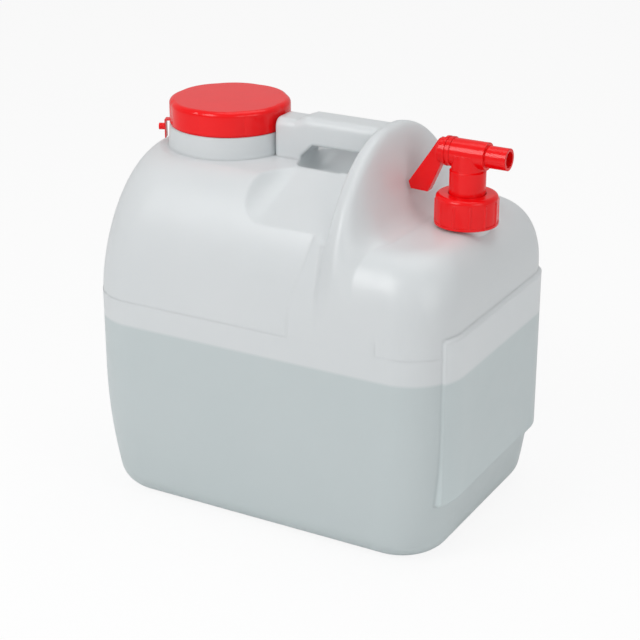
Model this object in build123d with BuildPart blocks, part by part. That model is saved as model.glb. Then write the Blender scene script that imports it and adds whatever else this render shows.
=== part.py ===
from build123d import *
from math import cos, sin, sqrt, radians
import os

# Water carboy of about 23 litres with a wide screw lid and a lever tap.
# X runs from the wide lid to the tap, Z is up, and Z = 0 is the floor.

# Container, outside
bodyLength = 370
bodyWidth = 260
cornerRadius = 50
wallThickness = 2.5
footRadius = 26
endTaper = 12
sideTaper = 8
taperTop = 126
beltHeight = 205
beltSeam = 4

# Dome that carries the lid turret, from the belt up
turretX = -98
turretRadius = 57.5
turretTop = 351
turretFlare = 61
turretFoot = 331
turretRoot = 300
turretBlend = 7
domeBulge = 1.7
domeInset = 0.15

# Tap shelf at the other end
shelfHeight = 290
shelfSpring = 230
shelfRoundEnd = 34
shelfRoundSide = 46
shelfBulge = 2.3
shelfStart = 88
shelfInset = 0.1

# Transverse ridge between handle and tap shelf
ridgeTop = 371
ridgeLeft = 68
ridgeRight = 73
ridgeFootLength = 52
ridgeHalfWay = 15
ridgeStart = 38
ridgeCrown = 6
ridgeSpring = 215
ridgeInset = 0.05
ridgeSink = 4

# Handle bar, grip recesses and finger tunnel
barWidth = 34
barBottom = 346
barTop = 370.5
barRound = 8
barLeft = -38
barStep = 4
barStepX = -18
barRoot = 322
gripOuterLeft = -42
gripOuterFloor = 281
gripOuterRound = 38
gripInnerLeft = -12
gripInnerFloor = 341
gripInnerRound = 14
tunnelCentre = 345
tunnelHalfWidth = 40
tunnelHalfHeight = 28
tunnelLeft = -12
tunnelRound = 12

# Raised panel on the tap end
panelRise = 3
panelBottom = 60
panelTop = 222
panelHalfWidth = 105
panelChamfer = 2.9

# Shallow hollows in the base, either side of the seam strip
baseHollowDepth = 2
seamStripWidth = 34
baseRim = 34

# Wide neck and lid
lidNeckRadius = 48.5
lidBoreRadius = 45
lidNeckTop = 370.3
lidLobes = 8
lidRadius = 57.5
lidNotchRadius = 56.3
lidWall = 3.4
lidTop = 374.8
lidGap = 1.3
lidRound = 5
lidRoof = 2.6
lidGripDepth = 1.8
lidGripRadius = 5
sealThickness = 1.8
seatGap = 0.1
lidThreadRoom = 3.5

# Lid retaining strap
strapThickness = 1
strapWidth = 9
strapAngle = 203
strapDrop = 17
knobRadius = 3.2
knobLength = 7

# Tap neck and union nut
tapX = 149
tapNeckRadius = 21.5
tapBoreRadius = 17
tapNeckTop = 311.5
nutRadius = 29
nutBottom = 292.5
nutTop = 320
nutWall = 4.6
nutRoof = 3.2
nutFlats = 12
nutRidgeRadius = 1.6
nutRimHeight = 2.2
nutRound = 4
gasketThickness = 2
flangeThickness = 3
flangeRadius = 22.5

# Tap housing
stemRadius = 16.5
upperStemRadius = 15
stemStep = 341
stemBore = 9
barrelHeight = 356
barrelRadius = 12.5
barrelBack = 128
barrelFront = 168
barrelRing = 0.9
ringWidth = 2.4
spigotLength = 12
spigotGap = 0.5
nutHoleGap = 0.6
spoutRadius = 10
spoutBore = 7.2
spoutEnd = 188
chamberRadius = 8.6
chamberFront = 166

# Valve plug and lever
plugGap = 0.08
plugBore = 5.8
plugPort = 5.4
hubRadius = 11.5
hubBack = 121.5
leverThickness = 8.6
leverRim = 1.6
leverRelief = 0.9
leverEdgeRadius = 1.2
stopWeb = 3
stopGap = 0.3
sealBack = 133
sealFront = 161
sealWidth = 2
sealDepth = 1.6
sealRadius = 0.82
plugBoreDepth = 8


def planShape(left, right, halfWidth, leftRound, rightRound):
    # Plan section of the container at one height
    with BuildSketch() as plan:
        with Locations(((left + right) / 2, 0)):
            Rectangle(right - left, 2 * halfWidth)
        fillet(plan.vertices().sort_by(Axis.X)[:2], min(leftRound, halfWidth - 0.2))
        fillet(plan.vertices().sort_by(Axis.X)[-2:], rightRound)
    return plan.sketch


def lowerBody(skin):
    # Tapering foot and straight belt
    halfLength = bodyLength / 2 - skin
    halfWidth = bodyWidth / 2 - skin
    corner = cornerRadius - skin
    sections = []
    for share in (0, 1 / 3, 2 / 3, 1):
        slip = (1 - share) ** 2
        inset = endTaper * slip
        plan = planShape(
            inset - halfLength, halfLength - inset, halfWidth - sideTaper * slip, corner, corner
        )
        sections.append(Plane.XY.offset(skin + share * (taperTop - skin)) * plan)
    with BuildPart() as body:
        add(sections)
        loft()
        fillet(body.faces().sort_by(Axis.Z)[0].edges(), footRadius - skin)
        extrude(body.faces().sort_by(Axis.Z)[-1], amount=beltHeight - taperTop)
    return body.part


def domeForm(skin):
    # Shoulder that narrows from the full plan to the round turret
    startX = -bodyLength / 2 + cornerRadius
    startY = bodyWidth / 2 - cornerRadius
    base = beltHeight - beltSeam
    sections = []
    for share in (0, 0.2, 0.4, 0.55, 0.7, 0.82, 0.91, 0.97, 0.995):
        bend = 1 - sqrt(1 - share**domeBulge)
        centreX = startX + (turretX - startX) * bend
        centreY = startY * (1 - bend)
        radius = cornerRadius + (turretFlare - cornerRadius) * bend - skin - domeInset
        plan = planShape(centreX - radius, ridgeLeft + 8, centreY + radius, radius, 10)
        sections.append(Plane.XY.offset(base + share * (turretFoot - skin - base)) * plan)
    with BuildPart() as dome:
        add(sections)
        loft()
    return dome.part


def turretForm(skin):
    # Round turret under the wide lid, slightly flared
    with BuildPart() as turret:
        for rise, radius in ((turretRoot, turretFlare), (turretTop - skin, turretRadius)):
            with BuildSketch(Plane.XY.offset(rise)):
                with Locations((turretX, 0)):
                    Circle(radius - skin)
        loft()
    return turret.part


def shelfForm(skin):
    # Rounded shoulder that carries the tap
    base = beltHeight - beltSeam
    corner = cornerRadius - skin
    sections = [Plane.XY.offset(base) * planShape(
        shelfStart, bodyLength / 2 - skin - shelfInset, bodyWidth / 2 - skin - shelfInset, 1, corner
    )]
    for share in (0, 0.3, 0.5, 0.68, 0.82, 0.92, 0.98, 1):
        bend = 1 - (1 - share**2) ** (1 / shelfBulge)
        plan = planShape(
            shelfStart,
            bodyLength / 2 - skin - shelfInset - shelfRoundEnd * bend,
            bodyWidth / 2 - skin - shelfInset - shelfRoundSide * bend,
            1,
            corner - 0.4 * shelfRoundEnd * bend,
        )
        rise = shelfSpring + share * (shelfHeight - skin - shelfSpring)
        sections.append(Plane.XY.offset(rise) * plan)
    with BuildPart() as shelf:
        add(sections)
        loft()
    return shelf.part


def archSection(station, halfWidth, top, flat, spring):
    # Straight sides, then an elliptical shoulder on each side of a flat crown
    base = taperTop + beltSeam
    across = halfWidth - flat
    with BuildSketch(Plane.YZ.offset(station)) as section:
        with BuildLine():
            Polyline((-halfWidth, spring), (-halfWidth, base), (halfWidth, base), (halfWidth, spring))
            EllipticalCenterArc((flat, spring), across, top - spring, start_angle=0, arc_size=90)
            Line((flat, top), (-flat, top))
            EllipticalCenterArc((-flat, spring), across, top - spring, start_angle=90, arc_size=90)
        make_face()
    return section.sketch


def swellForm(skin):
    # Where the ridge swells out of the dome
    halfWidth = bodyWidth / 2 - skin - ridgeInset
    with BuildPart() as swell:
        add(archSection(ridgeStart + skin, halfWidth, turretFoot - skin, ridgeCrown, beltHeight))
        add(archSection(ridgeLeft - 4 + skin, halfWidth, ridgeTop - skin, ridgeCrown, ridgeSpring))
        loft(ruled=True)
    return swell.part


def ridgeForm(skin):
    # Transverse ridge that runs down to the tap shelf
    halfWidth = bodyWidth / 2 - skin - ridgeInset
    shelfFlat = halfWidth - shelfRoundSide - ridgeSink
    sections = [archSection(ridgeLeft - 4 + skin, halfWidth, ridgeTop - skin, ridgeCrown, ridgeSpring)]
    for share in (0.03, 0.12, 0.2, 0.27, 0.35, 0.45, 0.58, 0.78, 1):
        pull = (share * ridgeFootLength / ridgeHalfWay) ** 3
        fall = pull / (1 + pull)
        top = ridgeTop - skin - (ridgeTop - shelfHeight + ridgeSink) * fall
        flat = ridgeCrown + (shelfFlat - ridgeCrown) * fall
        spring = ridgeSpring + (shelfSpring + 4 - ridgeSpring) * sin(radians(180 * share**0.7))
        station = ridgeRight + ridgeFootLength * share - skin
        sections.append(archSection(station, halfWidth, top, flat, spring))
    with BuildPart() as ridge:
        add(sections)
        loft()
    return ridge.part


def gripCutter(side, skin):
    # Wedge that the fingers sink into beside the handle bar
    high = ridgeTop + 60
    stop = ridgeLeft + skin
    stations = (
        (bodyWidth / 2 + 5, gripOuterLeft, gripOuterFloor, gripOuterRound),
        (barWidth / 2 - skin, gripInnerLeft, gripInnerFloor, gripInnerRound),
    )
    with BuildPart() as cutter:
        for away, left, floor, rounding in stations:
            low = floor - skin
            start = left - skin
            with BuildSketch(Plane.XZ.offset(-side * away)):
                with BuildLine():
                    Polyline((start + rounding, low), (stop, low), (stop, high), (start, high), (start, low + rounding))
                    RadiusArc((start, low + rounding), (start + rounding, low), -rounding)
                make_face()
        loft(ruled=True)
    return cutter.part


def tunnelCutter(skin):
    # Hollow under the handle bar for the fingers
    left = tunnelLeft - skin
    with BuildPart() as cutter:
        with BuildSketch(Plane.YZ.offset(left)):
            with Locations((0, tunnelCentre)):
                Ellipse(tunnelHalfWidth + skin, tunnelHalfHeight + skin)
                Rectangle(2 * (tunnelHalfWidth + skin), 60, align=(Align.CENTER, Align.MIN))
        extrude(amount=ridgeLeft + skin - left)
        fillet(cutter.faces().sort_by(Axis.X)[0].edges().sort_by(Axis.Z)[:1], tunnelRound)
    return cutter.part


def barForm(skin):
    # Handle bar with its root behind the lid
    left = barLeft + skin
    root = tunnelLeft - skin
    low = barBottom + skin
    high = barTop - skin
    step = barTop - barStep - skin
    with BuildPart() as bar:
        with BuildSketch(Plane.XZ.offset(-barWidth / 2 + skin)):
            with BuildLine():
                Polyline((ridgeLeft + 5, high), (barStepX + 10, high), (barStepX, step), (left, step), (left, barRoot))
                Polyline((left, barRoot), (root, barRoot), (root, low - 12), (root + 12, low), (ridgeLeft + 5, low), (ridgeLeft + 5, high))
            make_face()
        extrude(amount=barWidth - 2 * skin)
        long = bar.edges().filter_by(lambda e: abs(e.center().Z - high) < 6 and abs(abs(e.center().Y) - barWidth / 2 + skin) < 0.1)
        fillet(long, barRound - skin)
    return bar.part


def containerForm(skin):
    # Outer form for skin 0, inner cavity for skin equal to the wall
    with BuildPart() as form:
        for piece in (lowerBody(skin), domeForm(skin), turretForm(skin), shelfForm(skin), swellForm(skin), ridgeForm(skin)):
            add(piece)
            print("add", form.part.is_valid, len(form.solids()), form.part.volume)
        for piece in (gripCutter(1, skin), gripCutter(-1, skin), tunnelCutter(skin)):
            add(piece, mode=Mode.SUBTRACT)
        print("cut", form.part.is_valid, len(form.solids()), form.part.volume)
        add(barForm(skin))
        print("bar", form.part.is_valid, len(form.solids()), form.part.volume)
    return form.part


def raisedPanel():
    # Slightly raised panel round the tap end
    halfLength = bodyLength / 2
    with BuildPart() as panel:
        add(Plane.XY.offset(panelBottom) * planShape(
            -halfLength, halfLength + panelRise, bodyWidth / 2 + panelRise, 5, cornerRadius + panelRise
        ))
        extrude(amount=panelTop - panelBottom)
        ends = panel.faces().filter_by(Axis.Z)
        chamfer(ends.edges(), panelChamfer)
        with BuildSketch(Plane.XY.offset(panelBottom)):
            with Locations((halfLength, 0)):
                Rectangle(2 * cornerRadius, 2 * panelHalfWidth)
        extrude(amount=panelTop - panelBottom, mode=Mode.INTERSECT)
    return panel.part


def helixRidge(radius, height, lead, turns, base, crest, root, inward):
    # Screw thread ridge on a neck or inside a cap
    side = -1 if inward else 1
    with BuildPart() as ridge:
        with BuildLine():
            Helix(lead, lead * turns, radius, center=(0, 0, base))
        with BuildSketch(Plane((radius, 0, base), x_dir=(1, 0, 0), z_dir=(0, 1, 0))):
            with BuildLine():
                Polyline(
                    (-side * 0.4, -root / 2),
                    (side * height, -crest / 2),
                    (side * height, crest / 2),
                    (-side * 0.4, root / 2),
                    close=True,
                )
            make_face()
        sweep(is_frenet=True)
    return ridge.part


# Container: one hollow moulding with both necks
outerForm = containerForm(0)
innerForm = containerForm(wallThickness)
with BuildPart() as container:
    add(outerForm)
    add(raisedPanel())
    with BuildSketch(Plane.XY.offset(turretTop - wallThickness / 2)):
        with Locations((turretX, 0)):
            Circle(lidNeckRadius)
    extrude(amount=lidNeckTop - turretTop + wallThickness / 2)
    with BuildSketch(Plane.XY.offset(shelfHeight - 2 * wallThickness)):
        with Locations((tapX, 0)):
            Circle(tapNeckRadius)
    extrude(amount=tapNeckTop - shelfHeight + 2 * wallThickness)
    add(innerForm, mode=Mode.SUBTRACT)
    with BuildSketch(Plane.XY.offset(turretTop - 4 * wallThickness)):
        with Locations((turretX, 0)):
            Circle(lidBoreRadius)
    extrude(amount=lidNeckTop, mode=Mode.SUBTRACT)
    with BuildSketch(Plane.XY.offset(shelfHeight - 6 * wallThickness)):
        with Locations((tapX, 0)):
            Circle(tapBoreRadius)
    extrude(amount=tapNeckTop, mode=Mode.SUBTRACT)
    for side in (1, -1):
        reach = bodyWidth / 2 - sideTaper - baseRim - seamStripWidth / 2
        with BuildSketch():
            with Locations((0, side * (seamStripWidth + reach) / 2)):
                RectangleRounded(bodyLength - 2 * (endTaper + baseRim), reach, min(cornerRadius, reach) / 3)
        extrude(amount=baseHollowDepth, mode=Mode.SUBTRACT)

# Sealing disc under the lid roof
lidBottom = turretTop + lidGap
lidRoofUnder = lidTop - lidRoof
with BuildPart() as lidSeal:
    with BuildSketch(Plane.XY.offset(lidNeckTop + seatGap)):
        with Locations((turretX, 0)):
            Circle(lidNeckRadius + 1)
    extrude(amount=lidRoofUnder - lidNeckTop - 2 * seatGap)

# Wide lid with lobed skirt
with BuildPart() as lid:
    with BuildSketch(Plane.XY.offset(lidBottom)) as lobes:
        with BuildLine(Plane.XY.offset(lidBottom)):
            step = 360 / lidLobes
            for lobe in range(lidLobes):
                points = []
                for share, radius in ((0, lidNotchRadius), (0.5, lidRadius), (1, lidNotchRadius)):
                    angle = radians(step * (lobe + share))
                    points.append((turretX + radius * cos(angle), radius * sin(angle)))
                ThreePointArc(*points)
        make_face()
        fillet(lobes.vertices(), lidGripRadius)
    extrude(amount=lidTop - lidBottom)
    fillet(lid.faces().sort_by(Axis.Z)[-1].edges(), lidRound)
    with BuildSketch(Plane.XY.offset(lidBottom)):
        with Locations((turretX, 0)):
            Circle(lidNeckRadius + lidThreadRoom)
    extrude(amount=lidRoofUnder - lidBottom, mode=Mode.SUBTRACT)

# Retaining strap: ring under the lid with a tongue and a knob
strapDirection = (cos(radians(strapAngle)), sin(radians(strapAngle)), 0)
strapPlane = Plane((turretX, 0, turretTop + seatGap), x_dir=strapDirection, z_dir=(0, 0, 1))
strapOut = turretFlare + 0.6
with BuildPart() as lidStrap:
    with BuildSketch(strapPlane):
        Circle(turretRadius - 1)
        with Locations((strapOut / 2, 0)):
            Rectangle(strapOut, strapWidth)
        Circle(lidNeckRadius + 0.4, mode=Mode.SUBTRACT)
        with Locations((-turretRadius / 2, 0)):
            pass
    extrude(amount=strapThickness)
    with BuildSketch(strapPlane):
        with Locations((strapOut + strapThickness / 2, 0)):
            Rectangle(strapThickness, strapWidth)
    extrude(amount=strapThickness)
    with BuildSketch(strapPlane):
        with Locations((strapOut + strapThickness / 2, 0)):
            Rectangle(strapThickness, strapWidth)
    extrude(amount=-strapDrop)
    knobBase = strapPlane.offset(-strapDrop * 0.4)
    with BuildSketch(Plane(
        knobBase.origin + knobBase.x_dir * strapOut, x_dir=knobBase.y_dir, z_dir=strapDirection
    )):
        Circle(knobRadius)
    extrude(amount=knobLength)
    fillet(lidStrap.edges().filter_by(GeomType.CIRCLE).sort_by(SortBy.RADIUS)[:1], 1)

# Tap housing: flanged stem, barrel across the top and spout
flangeBottom = tapNeckTop + gasketThickness + 2 * seatGap
with BuildPart() as tapHousing:
    with BuildSketch(Plane.XZ):
        with BuildLine():
            Polyline(
                (tapX, tapNeckTop - spigotLength),
                (tapX + tapBoreRadius - spigotGap, tapNeckTop - spigotLength),
                (tapX + tapBoreRadius - spigotGap, flangeBottom),
                (tapX + flangeRadius, flangeBottom),
                (tapX + flangeRadius, flangeBottom + flangeThickness),
                (tapX + stemRadius, flangeBottom + flangeThickness),
                (tapX + stemRadius, stemStep),
                (tapX + upperStemRadius, stemStep + 1),
                (tapX + upperStemRadius, barrelHeight),
                (tapX, barrelHeight),
                close=True,
            )
        make_face()
    revolve(axis=Axis((tapX, 0, 0), (0, 0, 1)))
    barrelPlane = Plane((barrelBack, 0, barrelHeight), x_dir=(0, 1, 0), z_dir=(1, 0, 0))
    with BuildSketch(barrelPlane):
        Circle(barrelRadius)
    extrude(amount=barrelFront - barrelBack)
    with BuildSketch(barrelPlane.offset(barrelFront - barrelBack)):
        Circle(spoutRadius)
    extrude(amount=spoutEnd - barrelFront)
    for offset in (0, 2 * ringWidth):
        with BuildSketch(barrelPlane.offset(offset)):
            Circle(barrelRadius + barrelRing)
        extrude(amount=ringWidth)
    webBack = barrelBack + stopGap
    with BuildSketch(Plane.XZ.offset(-stopWeb / 2)):
        with BuildLine():
            Polyline(
                (webBack, barrelHeight - 14),
                (webBack, barrelHeight - 8.5),
                (tapX, barrelHeight - 8.5),
                (tapX, barrelHeight - 11),
                close=True,
            )
        make_face()
    extrude(amount=stopWeb)
    with BuildSketch(barrelPlane.offset(-seatGap)):
        Circle(chamberRadius)
    extrude(amount=chamberFront - barrelBack, mode=Mode.SUBTRACT)
    with BuildSketch(barrelPlane):
        Circle(spoutBore)
    extrude(amount=spoutEnd, mode=Mode.SUBTRACT)
    with BuildSketch(Plane.XY.offset(tapNeckTop - spigotLength)):
        with Locations((tapX, 0)):
            Circle(stemBore)
    extrude(amount=barrelHeight - tapNeckTop + spigotLength, mode=Mode.SUBTRACT)

# Gasket between tap neck and flange
with BuildPart() as tapGasket:
    with BuildSketch(Plane.XY.offset(tapNeckTop + seatGap)):
        with Locations((tapX, 0)):
            Circle(tapNeckRadius)
            Circle(tapBoreRadius, mode=Mode.SUBTRACT)
    extrude(amount=gasketThickness)

# Union nut with twelve ribs
with BuildPart() as unionNut:
    with BuildSketch(Plane.XY.offset(nutBottom)):
        with Locations((tapX, 0)):
            Circle(nutRadius - nutRidgeRadius / 2)
    extrude(amount=nutTop - nutBottom)
    fillet(unionNut.faces().sort_by(Axis.Z)[-1].edges(), nutRound)
    with BuildSketch(Plane.XY.offset(nutBottom)):
        with Locations((tapX, 0)):
            Circle(nutRadius)
    extrude(amount=nutRimHeight)
    with BuildSketch(Plane.XY.offset(nutBottom)):
        with Locations((tapX, 0)):
            with PolarLocations(nutRadius - nutRidgeRadius, nutFlats):
                Circle(nutRidgeRadius)
    extrude(amount=nutTop - nutBottom - nutRound - 1)
    with BuildSketch(Plane.XY.offset(nutBottom)):
        with Locations((tapX, 0)):
            Circle(nutRadius - nutWall)
    extrude(amount=nutTop - nutRoof - nutBottom, mode=Mode.SUBTRACT)
    with BuildSketch(Plane.XY.offset(nutBottom)):
        with Locations((tapX, 0)):
            Circle(stemRadius + nutHoleGap)
    extrude(amount=nutTop, mode=Mode.SUBTRACT)

# Valve plug with its lever
plugRadius = chamberRadius - plugGap
plugPlane = Plane((hubBack, 0, barrelHeight), x_dir=(0, 1, 0), z_dir=(1, 0, 0))
with BuildPart() as valvePlug:
    with BuildSketch(plugPlane):
        Circle(hubRadius)
    extrude(amount=barrelBack - stopGap - hubBack)
    fillet(valvePlug.faces().sort_by(Axis.X)[0].edges(), 2.5)
    with BuildSketch(plugPlane):
        Circle(plugRadius)
    extrude(amount=chamberFront - stopGap - hubBack)
    for place in (sealBack, sealFront):
        with BuildSketch(plugPlane.offset(place - hubBack - sealWidth / 2)):
            Circle(plugRadius + 1)
            Circle(plugRadius - sealDepth, mode=Mode.SUBTRACT)
        extrude(amount=sealWidth, mode=Mode.SUBTRACT)
    with BuildSketch(Plane.XZ.offset(-leverThickness / 2)):
        with BuildLine():
            Polyline(
                (hubBack + 0.5, barrelHeight + 11),
                (hubBack - 7.5, barrelHeight - 1.5),
                (hubBack - 28.6, barrelHeight - 32.7),
                (hubBack - 26.4, barrelHeight - 39.2),
                (hubBack - 9.5, barrelHeight - 39.8),
                (hubBack - 6.6, barrelHeight - 34),
                (hubBack + 2.2, barrelHeight - 14),
                (hubBack + 2.2, barrelHeight + 8),
                close=True,
            )
        make_face()
    extrude(amount=leverThickness)
    with BuildSketch(plugPlane.offset(tapX - plugBoreDepth - hubBack)):
        Circle(plugBore)
    extrude(amount=chamberFront, mode=Mode.SUBTRACT)
    with BuildSketch(Plane.XZ):
        with Locations((tapX, barrelHeight)):
            Circle(plugPort)
    extrude(amount=-chamberRadius, mode=Mode.SUBTRACT)

# Sealing rings on the plug
sealRings = []
for place in (sealBack, sealFront):
    with BuildPart() as ring:
        with BuildSketch(Plane.XZ):
            with Locations((place, barrelHeight + plugRadius - sealDepth + sealRadius + 0.02)):
                Circle(sealRadius)
        revolve(axis=Axis((place, 0, barrelHeight), (1, 0, 0)))
    sealRings.append(ring)

nodes = {
    "container": container,
    "lid_seal": lidSeal,
    "lid": lid,
    "lid_strap": lidStrap,
    "tap_housing": tapHousing,
    "tap_gasket": tapGasket,
    "union_nut": unionNut,
    "valve_plug": valvePlug,
    "plug_seal_back": sealRings[0],
    "plug_seal_front": sealRings[1],
}
os.makedirs("parts", exist_ok=True)
for name, piece in nodes.items():
    print(name, piece.part.is_valid, len(piece.solids()), round(piece.part.volume), piece.part.bounding_box())
    piece.part.label = name
    export_step(piece.part, "parts/" + name + ".step")
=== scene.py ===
import bpy
import bmesh
from math import radians
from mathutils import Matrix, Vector


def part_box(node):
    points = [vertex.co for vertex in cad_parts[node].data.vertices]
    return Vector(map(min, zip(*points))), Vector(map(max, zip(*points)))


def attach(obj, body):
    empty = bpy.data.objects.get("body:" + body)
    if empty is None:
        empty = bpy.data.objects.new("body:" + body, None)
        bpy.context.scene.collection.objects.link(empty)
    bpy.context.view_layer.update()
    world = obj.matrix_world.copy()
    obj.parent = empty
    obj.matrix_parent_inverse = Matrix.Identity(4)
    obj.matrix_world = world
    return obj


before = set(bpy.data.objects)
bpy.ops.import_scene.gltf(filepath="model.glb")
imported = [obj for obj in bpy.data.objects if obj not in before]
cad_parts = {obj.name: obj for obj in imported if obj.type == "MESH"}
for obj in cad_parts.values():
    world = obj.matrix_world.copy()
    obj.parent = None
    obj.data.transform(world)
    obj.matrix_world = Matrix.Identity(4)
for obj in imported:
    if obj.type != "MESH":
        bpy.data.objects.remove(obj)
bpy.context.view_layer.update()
print("frame loaded:", ", ".join(sorted(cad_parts)))

# camera as in the photograph
cameraSettings = {
    "place": (0.7489, -1.3402, 0.8018),
    "target": (-0.0009, 0.0, 0.1671),
    "lens": 97.2,
    "sensor": 36,
    "farLimit": 20,
}


def aim(thing, place, target):
    thing.location = place
    thing.rotation_euler = (Vector(target) - Vector(place)).to_track_quat("-Z", "Y").to_euler()


def makeCamera():
    cameraData = bpy.data.cameras.new("camera")
    cameraData.lens = cameraSettings["lens"]
    cameraData.sensor_width = cameraSettings["sensor"]
    cameraData.clip_end = cameraSettings["farLimit"]
    camera = bpy.data.objects.new("camera", cameraData)
    aim(camera, cameraSettings["place"], cameraSettings["target"])
    bpy.context.collection.objects.link(camera)
    bpy.context.scene.camera = camera


makeCamera()
print("camera ready")

# helpers for the materials
noiseBand = (0.3, 0.7)  # where most of a noise's values lie


def newMaterial(name):
    material = bpy.data.materials.new(name)
    material.use_nodes = True
    tree = material.node_tree
    shader = tree.nodes["Principled BSDF"]
    return material, tree, shader


def addNode(tree, kind, **values):
    node = tree.nodes.new(kind)
    for key, value in values.items():
        setattr(node, key, value)
    return node


def objectPlace(tree):
    return addNode(tree, "ShaderNodeTexCoord").outputs["Object"]


def noise(tree, scale, detail=3):
    texture = addNode(tree, "ShaderNodeTexNoise")
    texture.inputs["Scale"].default_value = scale
    texture.inputs["Detail"].default_value = detail
    tree.links.new(objectPlace(tree), texture.inputs["Vector"])
    return texture.outputs["Fac"]


def remap(tree, value, low, high, toLow, toHigh):
    node = addNode(tree, "ShaderNodeMapRange")
    node.inputs["From Min"].default_value = low
    node.inputs["From Max"].default_value = high
    node.inputs["To Min"].default_value = toLow
    node.inputs["To Max"].default_value = toHigh
    tree.links.new(value, node.inputs["Value"])
    return node.outputs["Result"]


def mixColours(tree, factor, first, second):
    node = addNode(tree, "ShaderNodeMix", data_type="RGBA")
    tree.links.new(factor, node.inputs["Factor"])
    for socket, colour in ((node.inputs["A"], first), (node.inputs["B"], second)):
        if isinstance(colour, tuple):
            socket.default_value = colour
        else:
            tree.links.new(colour, socket)
    return node.outputs["Result"]


def bump(tree, settings, detail, normal=None):
    # settings hold the scale of the noise, the strength and the height in metres
    scale, strength, distance = settings
    node = addNode(tree, "ShaderNodeBump")
    node.inputs["Strength"].default_value = strength
    node.inputs["Distance"].default_value = distance
    tree.links.new(noise(tree, scale, detail), node.inputs["Height"])
    if normal:
        tree.links.new(normal, node.inputs["Normal"])
    return node.outputs["Normal"]


def roundedNormal(tree, radius):
    # softens the shaded edge between two faces
    node = addNode(tree, "ShaderNodeBevel", samples=6)
    node.inputs["Radius"].default_value = radius
    return node.outputs["Normal"]


def mouldedSurface(tree, shader, settings):
    # gloss that varies a little, soft edges, fine grain and gentle waves
    band = settings["roughness"]
    rough = remap(tree, noise(tree, settings["glossScale"]), *noiseBand, *band)
    tree.links.new(rough, shader.inputs["Roughness"])
    shader.inputs["Subsurface Weight"].default_value = settings["glow"]
    shader.inputs["Subsurface Radius"].default_value = settings["glowReach"]
    shader.inputs["Subsurface Scale"].default_value = 1
    rounded = roundedNormal(tree, settings["edgeSoftness"])
    grain = bump(tree, settings["grain"], 2, rounded)
    waves = bump(tree, settings["waves"], 1, grain)
    tree.links.new(waves, shader.inputs["Normal"])


# natural polyethylene of the container, darker where water stands behind it
canisterSettings = {
    "dryColours": ((0.69, 0.735, 0.75, 1), (0.73, 0.765, 0.78, 1)),
    "wetColours": ((0.545, 0.62, 0.63, 1), (0.58, 0.65, 0.66, 1)),
    "cloudScale": 9,
    "waterHeight": 0.181,
    "waterLineWidth": 0.0016,
    "roughness": (0.28, 0.38),
    "glossScale": 60,
    "glow": 0.25,
    "glowReach": (0.02, 0.022, 0.022),
    "edgeSoftness": 0.005,
    "grain": (900, 0.06, 0.0004),
    "waves": (14, 0.10, 0.004),
}


def canisterPlastic():
    material, tree, shader = newMaterial("naturalPolyethylene")
    split = addNode(tree, "ShaderNodeSeparateXYZ")
    tree.links.new(objectPlace(tree), split.inputs["Vector"])
    half = canisterSettings["waterLineWidth"]
    level = canisterSettings["waterHeight"]
    wet = remap(tree, split.outputs["Z"], level - half, level + half, 1, 0)
    cloud = noise(tree, canisterSettings["cloudScale"], 2)
    dry = mixColours(tree, cloud, *canisterSettings["dryColours"])
    filled = mixColours(tree, cloud, *canisterSettings["wetColours"])
    tree.links.new(mixColours(tree, wet, dry, filled), shader.inputs["Base Color"])
    mouldedSurface(tree, shader, canisterSettings)
    return material


# glossy red of the lid, strap and tap
redSettings = {
    "colours": ((0.92, 0.003, 0.005, 1), (0.84, 0.002, 0.004, 1)),
    "cloudScale": 40,
    "specular": 0.35,
    "roughness": (0.12, 0.20),
    "glossScale": 260,
    "glow": 0.05,
    "glowReach": (0.004, 0.001, 0.001),
    "edgeSoftness": 0.0008,
    "grain": (1400, 0.05, 0.0003),
    "waves": (70, 0.10, 0.0006),
}


def redPlastic():
    material, tree, shader = newMaterial("redPolypropylene")
    cloud = noise(tree, redSettings["cloudScale"], 2)
    tone = mixColours(tree, cloud, *redSettings["colours"])
    tree.links.new(tone, shader.inputs["Base Color"])
    shader.inputs["Specular IOR Level"].default_value = redSettings["specular"]
    mouldedSurface(tree, shader, redSettings)
    return material


# seals, seen only when a cap is off
foamSettings = {
    "colours": ((0.82, 0.82, 0.80, 1), (0.70, 0.70, 0.68, 1)),
    "cellScale": 900,
    "roughness": 0.8,
    "grain": (1800, 0.3, 0.0003),
}
rubberSettings = {
    "colours": ((0.02, 0.02, 0.02, 1), (0.04, 0.04, 0.04, 1)),
    "cellScale": 500,
    "roughness": 0.55,
    "grain": (1500, 0.2, 0.0002),
}


def sealMaterial(name, settings):
    material, tree, shader = newMaterial(name)
    tone = mixColours(tree, noise(tree, settings["cellScale"]), *settings["colours"])
    tree.links.new(tone, shader.inputs["Base Color"])
    shader.inputs["Roughness"].default_value = settings["roughness"]
    tree.links.new(bump(tree, settings["grain"], 3), shader.inputs["Normal"])
    return material


finishes = {
    "container": canisterPlastic(),
    "red": redPlastic(),
    "foam": sealMaterial("sealingFoam", foamSettings),
    "rubber": sealMaterial("blackRubber", rubberSettings),
}
nodeFinish = {
    "container": "container",
    "lid": "red",
    "lid_strap": "red",
    "tap_housing": "red",
    "union_nut": "red",
    "valve_plug": "red",
    "lid_seal": "foam",
    "tap_gasket": "foam",
    "plug_seal_back": "rubber",
    "plug_seal_front": "rubber",
}


def dressNodes():
    for name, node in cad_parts.items():
        finish = finishes[nodeFinish[name]]
        if not node.material_slots:
            node.data.materials.append(finish)
        for slot in node.material_slots:
            slot.material = finish


dressNodes()
print("materials ready")

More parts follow.
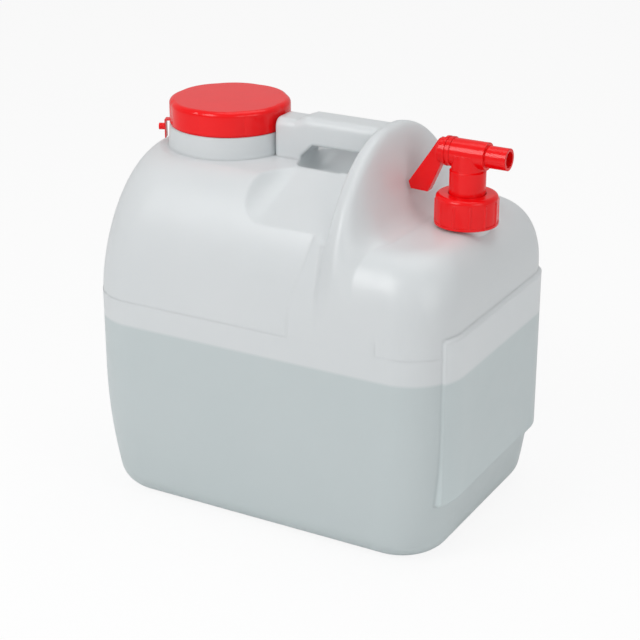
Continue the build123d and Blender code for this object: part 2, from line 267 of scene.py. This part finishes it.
# thread ridges on the two necks, hidden until a cap is screwed off
threadSink = 0.0004  # how far a ridge's foot sits inside the neck
lidThreadSettings = {
    "seal": "lid_seal",
    "sealRim": 0.001,
    "drop": 0.0155,
    "depth": 0.0015,
    "halfWidth": 0.0012,
    "lead": 0.006,
    "turns": 2,
    "stepsPerTurn": 64,
}
tapThreadSettings = {
    "seal": "tap_gasket",
    "sealRim": 0,
    "drop": 0.0145,
    "depth": 0.0013,
    "halfWidth": 0.0009,
    "lead": 0.004,
    "turns": 3,
    "stepsPerTurn": 48,
}


def makeThread(name, sizes):
    # the neck's axis, radius and top come from the seal that sits on it
    low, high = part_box(sizes["seal"])
    centre = ((low[0] + high[0]) / 2, (low[1] + high[1]) / 2)
    radius = (high[0] - low[0]) / 2 - sizes["sealRim"]
    start = low[2] - sizes["drop"]
    inner = radius - threadSink
    outer = radius + sizes["depth"]
    wide = sizes["halfWidth"]
    shape = bmesh.new()
    corners = [
        shape.verts.new((centre[0] + away, centre[1], start + rise))
        for away, rise in ((inner, -wide), (outer, -wide / 3), (outer, wide / 3), (inner, wide))
    ]
    for index in range(4):
        shape.edges.new((corners[index], corners[(index + 1) % 4]))
    bmesh.ops.spin(
        shape,
        geom=shape.verts[:] + shape.edges[:],
        cent=(centre[0], centre[1], 0),
        axis=(0, 0, 1),
        dvec=(0, 0, sizes["lead"] / sizes["stepsPerTurn"]),
        angle=radians(360 * sizes["turns"]),
        steps=sizes["stepsPerTurn"] * sizes["turns"],
        use_merge=False,
        use_normal_flip=False,
        use_duplicate=False,
    )
    ends = [edge for edge in shape.edges if edge.is_boundary]
    bmesh.ops.holes_fill(shape, edges=ends, sides=4)
    bmesh.ops.recalc_face_normals(shape, faces=shape.faces)
    mesh = bpy.data.meshes.new(name)
    shape.to_mesh(mesh)
    shape.free()
    mesh.materials.append(finishes["container"])
    thread = bpy.data.objects.new(name, mesh)
    bpy.context.collection.objects.link(thread)
    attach(thread, "can")


makeThread("lidThread", lidThreadSettings)
makeThread("tapThread", tapThreadSettings)
print("neck threads ready")

# floor and light
floorSettings = {
    "size": 6,
    "colour": (0.93, 0.93, 0.93, 1),
    "roughness": 0.7,
    "glow": 0.88,  # share of plain white that only the camera sees
}
lampSettings = {
    "key": {"place": (-0.6, -1.5, 1.5), "target": (0, 0, 0.2), "size": 1.0, "power": 15.5},
    "fill": {"place": (1.6, -0.7, 1.0), "target": (0, 0, 0.2), "size": 1.0, "power": 5},
    "top": {"place": (0.1, 0.3, 1.8), "target": (0, 0, 0.3), "size": 1.2, "power": 6},
}
worldStrength = 0.5
white = (1, 1, 1, 1)


def makeFloor():
    grid = bmesh.new()
    bmesh.ops.create_grid(grid, x_segments=2, y_segments=2, size=floorSettings["size"] / 2)
    mesh = bpy.data.meshes.new("floor")
    grid.to_mesh(mesh)
    grid.free()
    floor = bpy.data.objects.new("floor", mesh)
    bpy.context.collection.objects.link(floor)
    material, tree, shader = newMaterial("paleFloor")
    shader.inputs["Base Color"].default_value = floorSettings["colour"]
    shader.inputs["Roughness"].default_value = floorSettings["roughness"]
    glow = addNode(tree, "ShaderNodeEmission")
    seen = addNode(tree, "ShaderNodeLightPath")
    share = addNode(tree, "ShaderNodeMath", operation="MULTIPLY")
    tree.links.new(seen.outputs["Is Camera Ray"], share.inputs[0])
    share.inputs[1].default_value = floorSettings["glow"]
    mixer = addNode(tree, "ShaderNodeMixShader")
    tree.links.new(share.outputs[0], mixer.inputs[0])
    tree.links.new(shader.outputs[0], mixer.inputs[1])
    tree.links.new(glow.outputs[0], mixer.inputs[2])
    tree.links.new(mixer.outputs[0], tree.nodes["Material Output"].inputs["Surface"])
    mesh.materials.append(material)


def makeLamp(name, settings):
    data = bpy.data.lights.new(name, "AREA")
    data.size = settings["size"]
    data.energy = settings["power"]
    lamp = bpy.data.objects.new(name, data)
    aim(lamp, settings["place"], settings["target"])
    bpy.context.collection.objects.link(lamp)


def makeWorld():
    # the camera sees white, and the object gets less light than that
    world = bpy.data.worlds.new("studio")
    bpy.context.scene.world = world
    world.use_nodes = True
    tree = world.node_tree
    lit = tree.nodes["Background"]
    lit.inputs["Color"].default_value = white
    lit.inputs["Strength"].default_value = worldStrength
    bright = addNode(tree, "ShaderNodeBackground")
    bright.inputs["Color"].default_value = white
    seen = addNode(tree, "ShaderNodeLightPath")
    mixer = addNode(tree, "ShaderNodeMixShader")
    tree.links.new(seen.outputs["Is Camera Ray"], mixer.inputs[0])
    tree.links.new(lit.outputs[0], mixer.inputs[1])
    tree.links.new(bright.outputs[0], mixer.inputs[2])
    tree.links.new(mixer.outputs[0], tree.nodes["World Output"].inputs["Surface"])


makeFloor()
for lampName, settings in lampSettings.items():
    makeLamp(lampName, settings)
makeWorld()
bpy.context.scene.view_settings.view_transform = "Standard"
print("floor and light ready")
